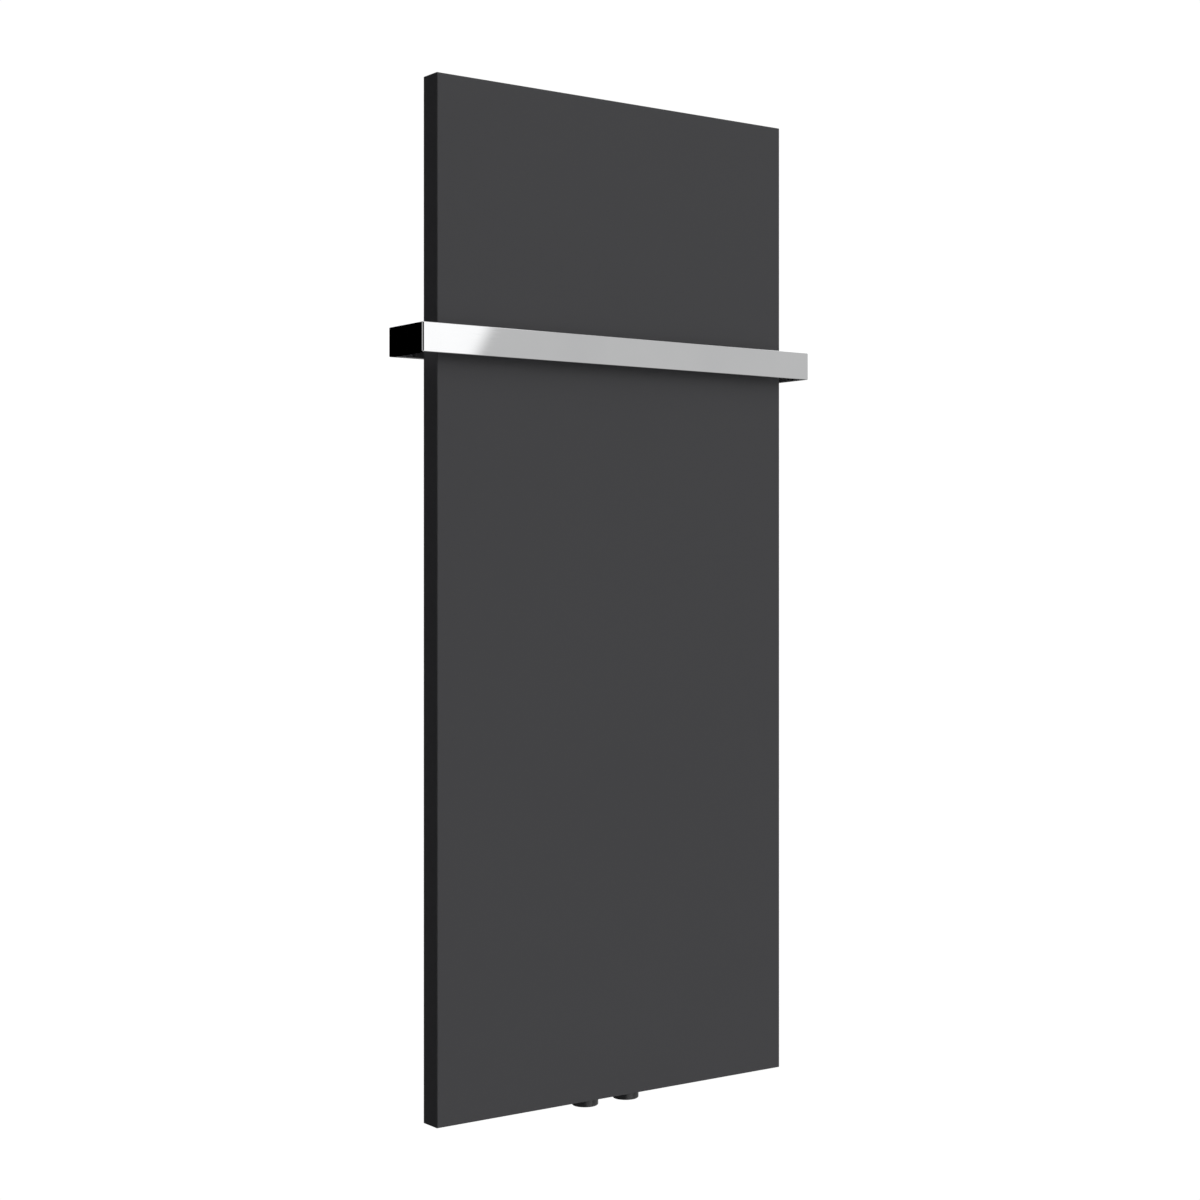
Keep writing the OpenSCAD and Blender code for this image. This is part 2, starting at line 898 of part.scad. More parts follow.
rail_bracket(-1);  // rail_bracket_left
rail_bracket(1);  // rail_bracket_right
rail_pad(-1);  // rail_pad_left
rail_pad(1);  // rail_pad_right
rail_screws();
rail_nuts();
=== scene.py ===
import json
import math

import bmesh
import bpy
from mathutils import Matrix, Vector

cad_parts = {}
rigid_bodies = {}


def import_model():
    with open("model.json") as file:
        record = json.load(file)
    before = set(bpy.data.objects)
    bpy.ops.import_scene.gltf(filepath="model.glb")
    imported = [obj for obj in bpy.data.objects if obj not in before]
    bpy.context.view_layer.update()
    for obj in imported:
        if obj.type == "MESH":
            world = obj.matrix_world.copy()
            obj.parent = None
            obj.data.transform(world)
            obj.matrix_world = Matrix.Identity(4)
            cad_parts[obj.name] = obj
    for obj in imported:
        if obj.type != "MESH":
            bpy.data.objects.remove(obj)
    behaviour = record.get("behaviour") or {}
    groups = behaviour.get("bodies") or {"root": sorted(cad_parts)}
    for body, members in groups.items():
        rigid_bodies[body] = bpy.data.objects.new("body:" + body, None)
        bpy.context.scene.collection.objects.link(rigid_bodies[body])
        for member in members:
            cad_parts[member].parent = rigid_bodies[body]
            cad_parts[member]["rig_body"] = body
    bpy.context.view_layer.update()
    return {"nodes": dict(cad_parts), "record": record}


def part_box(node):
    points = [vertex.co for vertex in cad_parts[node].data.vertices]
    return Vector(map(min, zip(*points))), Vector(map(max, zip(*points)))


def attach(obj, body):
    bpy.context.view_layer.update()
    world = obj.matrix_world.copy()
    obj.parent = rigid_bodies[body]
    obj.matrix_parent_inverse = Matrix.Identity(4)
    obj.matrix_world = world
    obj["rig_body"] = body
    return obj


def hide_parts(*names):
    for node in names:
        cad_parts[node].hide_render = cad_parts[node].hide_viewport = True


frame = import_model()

MM = 0.001
MICRON = 0.000001
LEVELS = {"top": 1, "bottom": -1}
SIDES = ("left", "right")
CORNERS = [f"{level}_{side}" for level in LEVELS for side in SIDES]
TUBES = [f"flat_tube_{i}" for i in range(1, 7)]


# ---------------------------------------------------------------- materials

# A Mix node lists the sockets of all its data types: these three are the ones for colours.
MIX_FIRST = 6
MIX_SECOND = 7
MIX_RESULT = 2


class Shader:
    """A node material round one Principled shader, with short calls for its textures."""

    def __init__(self, name):
        self.material = bpy.data.materials.new(name)
        self.material.use_nodes = True
        self.nodes = self.material.node_tree.nodes
        self.links = self.material.node_tree.links
        self.bsdf = self.nodes["Principled BSDF"]
        self.place = self.nodes.new("ShaderNodeTexCoord").outputs["Object"]

    def set(self, **values):
        """Gives sockets a plain value. An underscore stands for the space in a socket's name."""
        for socket, value in values.items():
            self.bsdf.inputs[socket.replace("_", " ")].default_value = value
        return self

    def noise(self, scale, detail=2.0, stretch=None):
        """A cloudy texture of about scale lumps to the metre, times stretch along x, y and z."""
        place = self.place
        if stretch:
            mapping = self.nodes.new("ShaderNodeMapping")
            mapping.inputs["Scale"].default_value = stretch
            self.links.new(place, mapping.inputs["Vector"])
            place = mapping.outputs["Vector"]
        node = self.nodes.new("ShaderNodeTexNoise")
        node.inputs["Scale"].default_value = scale
        node.inputs["Detail"].default_value = detail
        node.inputs["Roughness"].default_value = 0.5
        self.links.new(place, node.inputs["Vector"])
        return node.outputs["Fac"]

    def cells(self, scale):
        """A texture of crystals, each in one grey."""
        node = self.nodes.new("ShaderNodeTexVoronoi")
        node.inputs["Scale"].default_value = scale
        self.links.new(self.place, node.inputs["Vector"])
        grey = self.nodes.new("ShaderNodeRGBToBW")
        self.links.new(node.outputs["Color"], grey.inputs[0])
        return grey.outputs[0]

    def remap(self, texture, low, high, from_low=0.25, from_high=0.75):
        """Stretches the part of a texture from from_low to from_high to reach from low to high."""
        node = self.nodes.new("ShaderNodeMapRange")
        for socket, number in zip(("From Min", "From Max", "To Min", "To Max"),
                                  (from_low, from_high, low, high)):
            node.inputs[socket].default_value = number
        self.links.new(texture, node.inputs["Value"])
        return node.outputs["Result"]

    def into(self, socket, value):
        """Feeds a texture into one of the shader's sockets."""
        self.links.new(value, self.bsdf.inputs[socket])
        return self

    def tones(self, texture, first, second, **reach):
        """A base colour that goes from the first tone to the second with a texture."""
        node = self.nodes.new("ShaderNodeMix")
        node.data_type = "RGBA"
        node.inputs[MIX_FIRST].default_value = (*first, 1)
        node.inputs[MIX_SECOND].default_value = (*second, 1)
        self.links.new(self.remap(texture, 0, 1, **reach), node.inputs["Factor"])
        return self.into("Base Color", node.outputs[MIX_RESULT])

    def roughness(self, texture, low, high):
        """A roughness that goes from low to high with a texture."""
        return self.into("Roughness", self.remap(texture, low, high))

    def bump(self, *heights):
        """Heights are (texture, depth in metres) pairs, one on top of the other."""
        normal = None
        for value, depth in heights:
            node = self.nodes.new("ShaderNodeBump")
            node.inputs["Distance"].default_value = depth
            node.inputs["Strength"].default_value = 1.0
            self.links.new(value, node.inputs["Height"])
            if normal:
                self.links.new(normal, node.inputs["Normal"])
            normal = node.outputs["Normal"]
        return self.into("Normal", normal)


def tint(colour, factor):
    return tuple(c * factor for c in colour)


def powder_coat(name, colour, rough, peel):
    """Matt anthracite powder coat: fine orange peel over slow drifts of tone and gloss."""
    tone_drift, gloss_drift = 0.02, 0.015
    shader = Shader(name).set(IOR=1.5)
    shader.tones(shader.noise(5.0, detail=3.0), tint(colour, 1 - tone_drift),
                 tint(colour, 1 + tone_drift))
    shader.roughness(shader.noise(9.0), rough - gloss_drift, rough + gloss_drift)
    return shader.bump((shader.noise(900.0), peel),
                       (shader.noise(2600.0, detail=1.0), peel / 4)).material


def chrome():
    """Polished chrome plate over a ground bar: a long faint waviness and a hairline polish."""
    shader = Shader("rail_chrome").set(Metallic=1.0)
    shader.tones(shader.noise(14.0), (0.86, 0.865, 0.875), (0.90, 0.905, 0.91))
    shader.roughness(shader.noise(900.0, stretch=(0.06, 0.06, 1.0)), 0.02, 0.04)
    return shader.bump((shader.noise(11.0, detail=1.0), 12 * MICRON)).material


def zinc():
    """Bright zinc plate: small crystals in two greys with a fine drawn grain."""
    shader = Shader("zinc_plate").set(Metallic=1.0)
    shader.tones(shader.cells(2600.0), (0.56, 0.575, 0.59), (0.68, 0.69, 0.70),
                 from_low=0.2, from_high=0.8)
    shader.roughness(shader.noise(350.0, detail=3.0), 0.26, 0.42)
    return shader.bump((shader.noise(1800.0), 12 * MICRON)).material


def bare_steel():
    """Machined steel left uncoated: dark grey with level bands of tool marks."""
    shader = Shader("bare_steel").set(Metallic=1.0)
    shader.tones(shader.noise(160.0, detail=4.0), (0.30, 0.30, 0.31), (0.50, 0.50, 0.51))
    marks = shader.noise(500.0, stretch=(0.15, 0.15, 6.0))
    shader.roughness(marks, 0.28, 0.45)
    return shader.bump((marks, 20 * MICRON)).material


def nickelled_brass():
    """Matt nickel over brass, a little warm, with fine turning marks."""
    shader = Shader("nickelled_brass").set(Metallic=1.0)
    shader.tones(shader.noise(120.0, detail=3.0), (0.60, 0.57, 0.48), (0.72, 0.69, 0.60))
    marks = shader.noise(700.0, stretch=(0.2, 0.2, 4.0))
    shader.roughness(marks, 0.22, 0.34)
    return shader.bump((marks, 12 * MICRON)).material


def plastic():
    """Moulded white plastic with a fine spark-eroded texture."""
    shader = Shader("vent_plastic").set(IOR=1.46, Subsurface_Weight=0.08)
    shader.tones(shader.noise(60.0), (0.72, 0.71, 0.67), (0.78, 0.77, 0.73))
    shader.roughness(shader.noise(240.0), 0.40, 0.50)
    return shader.bump((shader.noise(3000.0, detail=1.0), 10 * MICRON)).material


def rubber():
    """Black rubber sheet, dull, with a faint cloth-moulded grain."""
    shader = Shader("black_rubber").set(IOR=1.45)
    shader.tones(shader.noise(300.0), (0.012, 0.012, 0.013), (0.024, 0.024, 0.025))
    shader.roughness(shader.noise(500.0), 0.75, 0.9)
    return shader.bump((shader.noise(1500.0), 30 * MICRON)).material


ANTHRACITE = (0.072, 0.072, 0.076)
PANEL = powder_coat("panel_powder_coat", (0.081, 0.081, 0.0875), 0.50, 3.5 * MICRON)
BODY = powder_coat("body_powder_coat", ANTHRACITE, 0.42, 7 * MICRON)
BOSS = powder_coat("boss_powder_coat", ANTHRACITE, 0.26, 5 * MICRON)
CHROME, ZINC, STEEL = chrome(), zinc(), bare_steel()
NICKEL, PLASTIC, RUBBER = nickelled_brass(), plastic(), rubber()


# ---------------------------------------------------------------- mesh tools

def body_of(node):
    return frame["nodes"][node]["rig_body"]


def slot_of(node):
    return next(s["material_slot"] for s in frame["record"]["subparts"] if s["node"] == node)


def add_piece(name, bm, body, slot, material, crease=35, replaces=()):
    """Makes an object of a bmesh, smooth up to a crease angle, and hangs it on its body."""
    mesh = bpy.data.meshes.new(name)
    bm.to_mesh(mesh)
    bm.free()
    mesh.materials.append(material)
    mesh.shade_smooth()
    mesh.set_sharp_from_angle(angle=math.radians(crease))
    piece = bpy.data.objects.new(name, mesh)
    bpy.context.scene.collection.objects.link(piece)
    weighted = piece.modifiers.new("Flat faces stay flat", "WEIGHTED_NORMAL")
    weighted.keep_sharp = True
    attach(piece, body)
    if replaces:
        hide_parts(*replaces)


def cad_bmesh(node):
    """The node's own shape, with its seams closed and its flat triangles joined."""
    bm = bmesh.new()
    bm.from_mesh(frame["nodes"][node].data)
    bmesh.ops.remove_doubles(bm, verts=bm.verts, dist=0.002 * MM)
    bmesh.ops.dissolve_limit(bm, angle_limit=math.radians(0.4), verts=bm.verts, edges=bm.edges)
    return bm


def box_round(verts):
    """The lowest and the highest corner of the box round some vertices."""
    return tuple(Vector([pick(v.co[k] for v in verts) for k in range(3)]) for pick in (min, max))


def soften(bm, width, segments, keep):
    """Rounds the edges that keep agrees to, where two faces meet at more than the crease angle."""
    crease = math.radians(40)
    edges = [e for e in bm.edges
             if len(e.link_faces) == 2 and e.calc_face_angle(0) > crease and keep(e)]
    bmesh.ops.bevel(bm, geom=edges, offset=width, offset_type="OFFSET", segments=segments,
                    profile=0.5, affect="EDGES", clamp_overlap=False)


def hold_inside(bm, low, high):
    """Brings back the vertices that rounding has pushed past a box."""
    for vert in bm.verts:
        vert.co = [min(max(c, a), b) for c, a, b in zip(vert.co, low, high)]


def finished(node, material, width=0.0, segments=2, keep=lambda edge: True):
    """Stands a copy of a CAD node in its place: edges rounded by width, inside the same box."""
    bm = cad_bmesh(node)
    low, high = box_round(bm.verts)
    if width:
        soften(bm, width, segments, keep)
    hold_inside(bm, low, high)
    add_piece(node + "_finish", bm, body_of(node), slot_of(node), material, replaces=[node])


def own_piece(name, build, body, slot, material, **options):
    """Adds a piece of new shape: build(bmesh) makes its solids. Their faces turn outwards."""
    bm = bmesh.new()
    build(bm)
    bmesh.ops.recalc_face_normals(bm, faces=bm.faces)
    add_piece(name, bm, body, slot, material, **options)


def islands(node):
    """The boxes of the separate solids in a node, as (lowest, highest) corners."""
    bm = cad_bmesh(node)
    left, boxes = set(bm.verts), []
    while left:
        group, edge = set(), [left.pop()]
        while edge:
            vert = edge.pop()
            group.add(vert)
            near = {e.other_vert(vert) for e in vert.link_edges} & left
            left -= near
            edge += near
        boxes.append(box_round(group))
    bm.free()
    return sorted(boxes, key=lambda pair: tuple(round(c, 5) for c in pair[0]))


def ring(bm, points):
    return [bm.verts.new(p) for p in points]


def bridge(bm, first, second):
    """Faces all the way round between two rings of vertices."""
    count = len(first)
    for i in range(count):
        j = (i + 1) % count
        bm.faces.new((first[i], first[j], second[j], second[i]))


# ---------------------------------------------------------------- weld beads

BEAD_STEP = 0.6 * MM
RIPPLE_PITCH = 2.3 * MM
RIPPLE_DEPTH = 0.14


def line(a, b):
    a, b = Vector(a), Vector(b)
    count = max(4, round((b - a).length / BEAD_STEP))
    return [a.lerp(b, i / count) for i in range(count + 1)]


def circle(centre, radius):
    count = round(2 * math.pi * radius / BEAD_STEP)
    return [Vector(centre) + Vector((math.cos(t), math.sin(t), 0)) * radius
            for t in (2 * math.pi * i / count for i in range(count))]


def rounded_loop(x, low, high, radius):
    """Points round a rectangle in the plane of x, its corners rounded. low and high are (y, z)."""
    left, right = low[0] + radius, high[0] - radius
    bottom, top = low[1] + radius, high[1] - radius
    points = []
    arcs = ((right, top, 0), (left, top, 90), (left, bottom, 180), (right, bottom, 270))
    for y, z, start in arcs:
        for angle in (math.radians(start + 22.5 * i) for i in range(5)):
            points.append(Vector((x, y + radius * math.cos(angle), z + radius * math.sin(angle))))
    dense = []
    for a, b in zip(points, points[1:] + points[:1]):
        count = max(1, round((b - a).length / BEAD_STEP))
        dense += [a.lerp(b, i / count) for i in range(count)]
    return dense


def along(*direction):
    """The same crown direction at every point of a bead."""
    return lambda point: Vector(direction)


def end_share(travelled, length, width):
    """How much of its full size a bead has, rounded off within one width of a path's ends."""
    from_end = min(travelled, length - travelled) / width
    return math.sqrt(max(0.05, 1 - max(0.0, 1 - from_end) ** 2))


def weld_bead(bm, path, outward, width=1.7 * MM, height=1.5 * MM, closed=False):
    """A rippled bead along a path of points: outward(point) is the direction of its crown."""
    lengths = [0.0]
    for a, b in zip(path, path[1:]):
        lengths.append(lengths[-1] + (b - a).length)
    angles = [math.radians(a) for a in range(-30, 211, 30)]
    sections = []
    for i, (point, travelled) in enumerate(zip(path, lengths)):
        if closed:
            ahead, behind, share = path[(i + 1) % len(path)], path[i - 1], 1.0
        else:
            ahead, behind = path[min(i + 1, len(path) - 1)], path[max(i - 1, 0)]
            share = end_share(travelled, lengths[-1], width)
        up = outward(point).normalized()
        side = (ahead - behind).cross(up).normalized()
        wave = abs(math.cos(math.pi * travelled / RIPPLE_PITCH))
        ripple = 1 - RIPPLE_DEPTH + RIPPLE_DEPTH * wave
        run = travelled / MM
        wobble = 1 + 0.05 * math.sin(run * 0.7) + 0.04 * math.sin(run * 1.9)
        w, h = width * ripple * share * wobble, height * ripple * share
        sections.append(ring(bm, [point + side * w * math.cos(a) + up * h * math.sin(a)
                                  for a in angles]))
    for a, b in zip(sections, sections[1:] + (sections[:1] if closed else [])):
        bridge(bm, a, b)
    if not closed:
        bm.faces.new(sections[0])
        bm.faces.new(sections[-1])


# ---------------------------------------------------------------- turned shapes

def round_axis(centre, axis, angle, radius, height):
    """A point round an axis through centre: at an angle, at a radius, at a height along it."""
    first, second = radius * math.cos(angle), radius * math.sin(angle)
    offset = (first, second, height) if axis == "Z" else (first, height, second)
    return Vector(offset) + Vector(centre)


def turned(bm, section, centre, axis, steps):
    """A closed ring round an axis: section(angle) is its closed loop of (radius, height)."""
    rings = []
    for i in range(steps):
        angle = 2 * math.pi * i / steps
        rings.append(ring(bm, [round_axis(centre, axis, angle, r, h) for r, h in section(angle)]))
    for a, b in zip(rings, rings[1:] + rings[:1]):
        bridge(bm, a, b)


def lathe(bm, profile, centre, axis="Z", steps=64):
    """A ring with the same closed (radius, height) loop all the way round."""
    turned(bm, lambda angle: profile, centre, axis, steps)


def hex_nut(bm, centre, axis, flats, height, bore):
    """A hexagon nut with both faces chamfered at 30 degrees and its bore countersunk."""
    face_r = 0.475 * flats
    sink = 0.3 * MM
    slope = math.tan(math.radians(30))

    def section(angle):
        side = flats / 2 / math.cos((angle % (math.pi / 3)) - math.pi / 6)
        drop = max(0.02 * MM, (side - face_r) * slope)
        return ((bore + sink, 0), (face_r, 0), (side, drop), (side, height - drop),
                (face_r, height), (bore + sink, height), (bore, height - sink), (bore, sink))

    turned(bm, section, centre, axis, steps=72)


def inner_thread(bm, centre, major, minor, pitch, low, high, per_turn=48):
    """The ridge of a thread cut in a hole: a helix whose root stands in the hole's wall."""
    root = major + 0.12 * MM
    half_root, half_crest = 0.49 * pitch, 0.08 * pitch
    turns = (high - low) / pitch - 1
    rows = []
    for i in range(round(turns * per_turn) + 1):
        turn = i / per_turn
        fade = min(1.0, 2 * turn, 2 * (turns - turn))
        crest = major + (minor - major) * max(0.02, fade)
        middle = low + pitch * (turn + 0.5)
        section = ((root, -half_root), (crest, -half_crest), (crest, half_crest),
                   (root, half_root))
        rows.append(ring(bm, [round_axis(centre, "Z", 2 * math.pi * turn, r, middle + h)
                              for r, h in section]))
    for a, b in zip(rows, rows[1:]):
        bridge(bm, a, b)
    bm.faces.new(rows[0])
    bm.faces.new(rows[-1])


def rounded_profile(inner, outer, low, high, radius, steps=4):
    """Closed (radius, height) loop of a ring's section with its outer edges rounded."""
    loop = [(inner, low)]
    for r, h, start in ((outer - radius, low + radius, -90), (outer - radius, high - radius, 0)):
        for i in range(steps + 1):
            t = math.radians(start + 90 * i / steps)
            loop.append((r + radius * math.cos(t), h + radius * math.sin(t)))
    return loop + [(inner, high)]


# ---------------------------------------------------------------- pieces kept from the CAD shape

end_face_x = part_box("header_end_caps")[1].x


def on_end_face(edge):
    """Whether an edge lies on the outer face of one of the headers' end plates."""
    return all(abs(vert.co.x) > end_face_x - MM / 2 for vert in edge.verts)


finished("front_panel", PANEL, 0.35 * MM)
finished("towel_rail", CHROME, 0.7 * MM, segments=3)
for node in TUBES + ["top_header", "bottom_header", "tube_end_caps", "vent_boss"]:
    finished(node, BODY)
for node in ("supply_boss", "return_boss"):
    finished(node, BOSS)
finished("header_end_caps", BODY, 0.6 * MM, keep=on_end_face)
for corner in CORNERS:
    finished(f"hanger_{corner}", BODY, 0.4 * MM)
    finished(f"cover_bracket_{corner}", BODY, 0.3 * MM)
    finished(f"hook_stud_{corner}", ZINC, 0.15 * MM)
    finished(f"sleeve_{corner}", BODY, 0.2 * MM)
    finished(f"wall_base_{corner}", ZINC, 0.2 * MM)
for side in SIDES:
    finished(f"rail_bracket_{side}", BODY, 0.4 * MM)
    finished(f"rail_pad_{side}", RUBBER, 0.15 * MM)
for node in ("cover_screws", "rail_screws", "lock_screws", "vent_spindle"):
    finished(node, ZINC, 0.08 * MM)
finished("flow_divider", STEEL)
finished("vent_seal", RUBBER, 0.12 * MM)
finished("vent_plug", NICKEL, 0.12 * MM)


# ---------------------------------------------------------------- welds, painted over

def tube_welds(bm):
    """Fillets between each tube's back and a header, and flush seams at the tube ends."""
    inset = 7 * MM
    for level, sign in LEVELS.items():
        low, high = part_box(f"{level}_header")
        inner, outer = (low.z, high.z) if sign > 0 else (high.z, low.z)
        fillet, seam = (inner, along(0, 1, -sign), 1.5 * MM), (outer, along(0, 0, sign), 0.5 * MM)
        for node in TUBES:
            a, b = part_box(node)
            for z, crown, height in (fillet, seam):
                path = line((a.x + inset, low.y, z), (b.x - inset, low.y, z))
                weld_bead(bm, path, crown, height=height)


def end_cap_welds(bm):
    """Low seams round both ends of both headers, where the end plates are welded on."""
    corner_r = 1.2 * MM
    for level in LEVELS:
        low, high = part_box(f"{level}_header")
        core_low = Vector((0, low.y + corner_r, low.z + corner_r))
        core_high = Vector((0, high.y - corner_r, high.z - corner_r))

        def crown(point):
            core = [min(max(point[k], core_low[k]), core_high[k]) for k in (1, 2)]
            return Vector((0, point.y - core[0], point.z - core[1]))

        for x in (low.x, high.x):
            weld_bead(bm, rounded_loop(x, (low.y, low.z), (high.y, high.z), corner_r), crown,
                      width=1.3 * MM, height=0.5 * MM, closed=True)


def boss_welds(bm):
    """Fillets round the two connection bosses and the vent's boss, on the headers' faces."""
    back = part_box("bottom_header")[1].y - 0.5 * MM
    for node, sign in (("supply_boss", -1), ("return_boss", -1), ("vent_boss", 1)):
        low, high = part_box(node)
        radius = (high.x - low.x) / 2
        x, y, z = (low.x + high.x) / 2, (low.y + high.y) / 2, high.z if sign < 0 else low.z
        path = [Vector((p.x, min(p.y, back), p.z)) for p in circle((x, y, z), radius)]
        weld_bead(bm, path, lambda p: Vector((p.x - x, p.y - y, sign * radius)), closed=True)


def header_at(corner):
    """The box of the header that the fixings of a corner are welded to."""
    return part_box(corner.split("_")[0] + "_header")


def hanger_welds(bm):
    """Upright fillets between the hangers' legs and the backs of the headers."""
    for corner in CORNERS:
        low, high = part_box(f"hanger_{corner}")
        a, b = header_at(corner)
        z_low, z_high = max(low.z, a.z) + MM, min(high.z, b.z) - MM
        for x, out in ((low.x, -1), (high.x, 1)):
            weld_bead(bm, line((x, b.y, z_low), (x, b.y, z_high)), along(out, 1, 0),
                      width=2.0 * MM, height=1.8 * MM)


def foot_welds(bm):
    """Fillets at the feet of the rail brackets and of the cover's bracket strips."""
    for side in SIDES:
        low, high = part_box(f"rail_bracket_{side}")
        for z, out in ((low.z, -1), (high.z, 1)):
            weld_bead(bm, line((low.x + MM, low.y, z), (high.x - MM, low.y, z)), along(0, 1, out))
    for corner in CORNERS:
        sign = LEVELS[corner.split("_")[0]]
        low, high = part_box(f"cover_bracket_{corner}")
        a, b = header_at(corner)
        z, front = (b.z if sign > 0 else a.z), a.y + 1.5 * MM
        for x, out in ((low.x, -1), (high.x, 1)):
            weld_bead(bm, line((x, front, z), (x, high.y - MM, z)), along(out, 0, sign),
                      width=1.4 * MM, height=1.2 * MM)


for build in (tube_welds, end_cap_welds, boss_welds, hanger_welds, foot_welds):
    own_piece(build.__name__, build, "radiator", "body_paint", BODY, crease=60)


# ---------------------------------------------------------------- threads, nuts and spout

def boss_threads(bm):
    """G1/2 thread in both sockets: 14 turns to the inch, from its chamfered mouth inwards."""
    major, minor, pitch = 10.48 * MM, 9.32 * MM, 1.814 * MM
    length, lead_in, run_out = 15 * MM, 0.4 * MM, 0.6 * MM
    for node in ("supply_boss", "return_boss"):
        low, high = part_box(node)
        centre = ((low.x + high.x) / 2, (low.y + high.y) / 2, low.z)
        inner_thread(bm, centre, major, minor, pitch, lead_in, length - run_out)


def nuts_of(node, axis, bore):
    """Chamfered nuts in the places of a node's plain ones, with their flats and their height."""
    upright = "XYZ".index(axis)

    def build(bm):
        for low, high in islands(node):
            size, foot = high - low, (low + high) / 2
            foot[upright] = low[upright]
            flats = min(size[k] for k in range(3) if k != upright)
            hex_nut(bm, foot, axis, flats, size[upright], bore)

    own_piece(node + "_finish", build, body_of(node), slot_of(node), ZINC, crease=25,
              replaces=[node])


def spout(bm):
    """Swivelling ring with a tapered nozzle that leaves it towards the wall."""
    low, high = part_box("vent_spout")
    radius, height = (high.x - low.x) / 2, high.z - low.z
    centre = Vector(((low.x + high.x) / 2, low.y + radius, low.z))
    lathe(bm, rounded_profile(6.08 * MM, radius, 0, height, 0.9 * MM), centre)
    # Two bands buried in the ring, their faces just under its own.
    cover, depth, half_width = 0.02 * MM, 0.6 * MM, 0.3 * MM
    for middle in (0.35 * height, 0.65 * height):
        lathe(bm, rounded_profile(radius - depth, radius - cover, middle - half_width,
                                  middle + half_width, 0.15 * MM), centre)
    # The nozzle's profile runs from its root in the ring to a bead round its tip.
    root, tip = radius - 1.4 * MM, high.y - centre.y
    bore, wide, narrow = 1.2 * MM, height / 2 - 0.1 * MM, 1.9 * MM
    lathe(bm, [(bore, root), (wide, root), (wide, radius + 0.2 * MM), (narrow, tip - 1.6 * MM),
               (narrow + 0.25 * MM, tip - 1.0 * MM), (narrow + 0.15 * MM, tip - 0.3 * MM),
               (narrow - 0.2 * MM, tip), (bore + 0.2 * MM, tip), (bore, tip - 0.2 * MM)],
          centre + Vector((0, 0, height / 2)), axis="Y", steps=32)


own_piece("boss_threads", boss_threads, "radiator", "plain_steel", STEEL, crease=50)
nuts_of("cover_nuts", "Z", 2.0 * MM)
nuts_of("rail_nuts", "Y", 2.5 * MM)
own_piece("vent_spout_finish", spout, body_of("vent_spout"), "vent_plastic", PLASTIC,
          replaces=["vent_spout"])


# ---------------------------------------------------------------- studio

# The soft panels of the studio. turn is the direction round the radiator in degrees, 0 in front
# and positive to its right, and rise is above the horizon. Each is (from, to, soft, soft): full
# between the first two and fading over the soft stretch before and after. lean slants the
# upright edges, in degrees of turn per degree of rise. A panel that crosses the middle of the
# back, where turn goes from 180 to -180, stands here as two rows.
SOFTBOXES = [
    {"turn": (22.0, 88.0, 14.0, 8.0), "rise": (-35, 56, 15, 15), "light": 0.53},
    {"turn": (25.0, 30.22, 5.0, 0.53), "rise": (-24, 60, 12, 14), "light": 0.575, "lean": 0.29},
    {"turn": (0.0, 20.0, 14.0, 8.0), "rise": (17, 60, 7, 14), "light": 0.95},
    {"turn": (-16.0, 19.0, 14.0, 7.0), "rise": (-30, -6, 8, 6), "light": 0.92},
    {"turn": (-46.0, 4.0, 14.0, 16.0), "rise": (26, 62, 14, 10), "light": 0.50},
    {"turn": (-92.0, -58.0, 4.0, 4.0), "rise": (2, 11, 7, 7), "light": 0.62},
    {"turn": (92.0, 181.0, 14.0, 1.0), "rise": (15, 62, 14, 12), "light": 1.5},
    {"turn": (-181.0, -181.0, 1.0, 8.0), "rise": (15, 62, 14, 12), "light": 1.5},
    {"turn": (104.0, 147.0, 12.0, 6.0), "rise": (-48, -17, 12, 5), "light": 0.6},
    {"turn": (104.0, 133.0, 12.0, 5.0), "rise": (-12, -4, 5, 4), "light": 0.6},
    {"turn": (167.0, 181.0, 5.0, 1.0), "rise": (-19, -5, 4, 4), "light": 0.6},
    {"turn": (-181.0, -175.0, 1.0, 3.0), "rise": (-19, -5, 4, 4), "light": 0.6},
    {"turn": (-26.0, 30.0, 14.0, 10.0), "rise": (-68, -38, 10, 8), "light": 1.30},
    {"turn": (-181.0, 181.0, 1.0, 1.0), "rise": (70, 91, 12, 1), "light": 0.38},
]
# A little over 1, so that the background comes out pure white.
PAPER_WHITE = 1.02


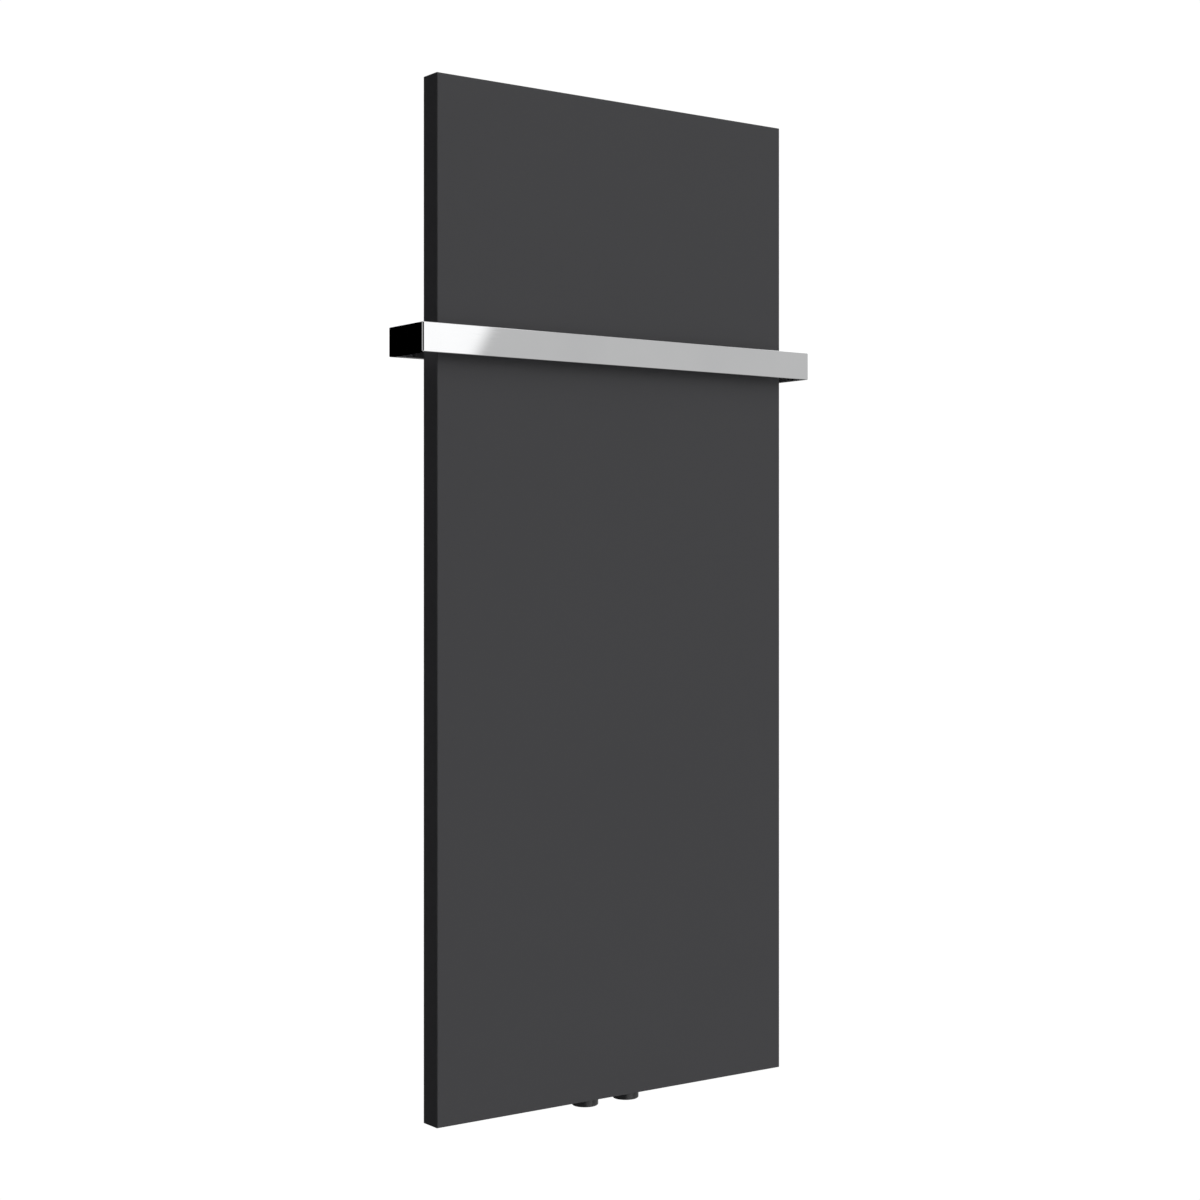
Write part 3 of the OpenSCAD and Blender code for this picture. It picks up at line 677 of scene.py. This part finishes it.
def studio_world():
    """White to the camera; to the object, a dark room with soft panels, fixed in the room."""
    world = bpy.data.worlds.new("studio")
    bpy.context.scene.world = world
    world.use_nodes = True
    nodes, links = world.node_tree.nodes, world.node_tree.links
    nodes.clear()

    def math_node(operation, *values):
        node = nodes.new("ShaderNodeMath")
        node.operation = operation
        for socket, value in zip(node.inputs, values):
            if isinstance(value, (int, float)):
                socket.default_value = value
            else:
                links.new(value, socket)
        return node.outputs[0]

    def window(value, low, high, soft_low, soft_high):
        """1 between low and high, falling smoothly to 0 over each soft stretch outside them."""
        rising, falling = nodes.new("ShaderNodeMapRange"), nodes.new("ShaderNodeMapRange")
        for node, start, end in ((rising, low - soft_low, low), (falling, high + soft_high, high)):
            node.interpolation_type = "SMOOTHSTEP"
            node.inputs["From Min"].default_value = start
            node.inputs["From Max"].default_value = end
            links.new(value, node.inputs["Value"])
        return math_node("MULTIPLY", rising.outputs[0], falling.outputs[0])

    direction = nodes.new("ShaderNodeTexCoord").outputs["Generated"]
    split = nodes.new("ShaderNodeSeparateXYZ")
    links.new(direction, split.inputs[0])
    x, y, z = split.outputs
    turn = math_node("MULTIPLY", math_node("ARCTAN2", x, math_node("MULTIPLY", y, -1)),
                     180 / math.pi)
    rise = math_node("MULTIPLY", math_node("ARCSINE", z), 180 / math.pi)
    total = 0.0
    for box in SOFTBOXES:
        leaned = math_node("SUBTRACT", turn, math_node("MULTIPLY", rise, box.get("lean", 0.0)))
        share = math_node("MULTIPLY", window(leaned, *box["turn"]), window(rise, *box["rise"]))
        total = math_node("ADD", math_node("MULTIPLY", share, box["light"]), total)

    lit, plain = nodes.new("ShaderNodeBackground"), nodes.new("ShaderNodeBackground")
    lit.inputs["Color"].default_value = plain.inputs["Color"].default_value = (1, 1, 1, 1)
    links.new(total, lit.inputs["Strength"])
    plain.inputs["Strength"].default_value = PAPER_WHITE
    path, mix = nodes.new("ShaderNodeLightPath"), nodes.new("ShaderNodeMixShader")
    links.new(path.outputs["Is Camera Ray"], mix.inputs[0])
    links.new(lit.outputs[0], mix.inputs[1])
    links.new(plain.outputs[0], mix.inputs[2])
    out = nodes.new("ShaderNodeOutputWorld")
    links.new(mix.outputs[0], out.inputs[0])


def floor_material():
    """White paper to the camera, grey paint to the light, and clear from below."""
    material = bpy.data.materials.new("floor_white")
    material.use_nodes = True
    nodes, links = material.node_tree.nodes, material.node_tree.links
    nodes.clear()
    glow, paint = nodes.new("ShaderNodeEmission"), nodes.new("ShaderNodeBsdfDiffuse")
    glow.inputs["Strength"].default_value = PAPER_WHITE
    paint.inputs["Color"].default_value = (0.33, 0.33, 0.33, 1)
    clear, side = nodes.new("ShaderNodeBsdfTransparent"), nodes.new("ShaderNodeNewGeometry")
    path = nodes.new("ShaderNodeLightPath")
    seen, whole = nodes.new("ShaderNodeMixShader"), nodes.new("ShaderNodeMixShader")
    links.new(path.outputs["Is Camera Ray"], seen.inputs[0])
    links.new(paint.outputs[0], seen.inputs[1])
    links.new(glow.outputs[0], seen.inputs[2])
    links.new(side.outputs["Backfacing"], whole.inputs[0])
    links.new(seen.outputs[0], whole.inputs[1])
    links.new(clear.outputs[0], whole.inputs[2])
    out = nodes.new("ShaderNodeOutputMaterial")
    links.new(whole.outputs[0], out.inputs[0])
    return material


def floor():
    """A wide floor far below the wall-hung radiator, left out of its mirror reflections."""
    reach, drop = 40.0, 1.15
    bm = bmesh.new()
    bmesh.ops.create_grid(bm, x_segments=1, y_segments=1, size=reach)
    mesh = bpy.data.meshes.new("floor")
    bm.to_mesh(mesh)
    bm.free()
    mesh.materials.append(floor_material())
    ground = bpy.data.objects.new("floor", mesh)
    ground.location = (0, 0, -drop)
    ground.visible_glossy = False
    bpy.context.scene.collection.objects.link(ground)


def camera():
    """A level camera in front of the radiator and to its left, at about its middle's height."""
    data = bpy.data.cameras.new("camera")
    data.sensor_width = 36.0
    data.lens = 62.89
    data.shift_x = -0.0167
    data.shift_y = -0.0182
    eye = bpy.data.objects.new("camera", data)
    eye.location = (-1.2285, -1.7672, 0.0206)
    eye.rotation_euler = (math.radians(90), 0, math.radians(-36.1))
    bpy.context.scene.collection.objects.link(eye)
    bpy.context.scene.camera = eye


studio_world()
floor()
camera()
bpy.context.scene.view_settings.view_transform = "Standard"
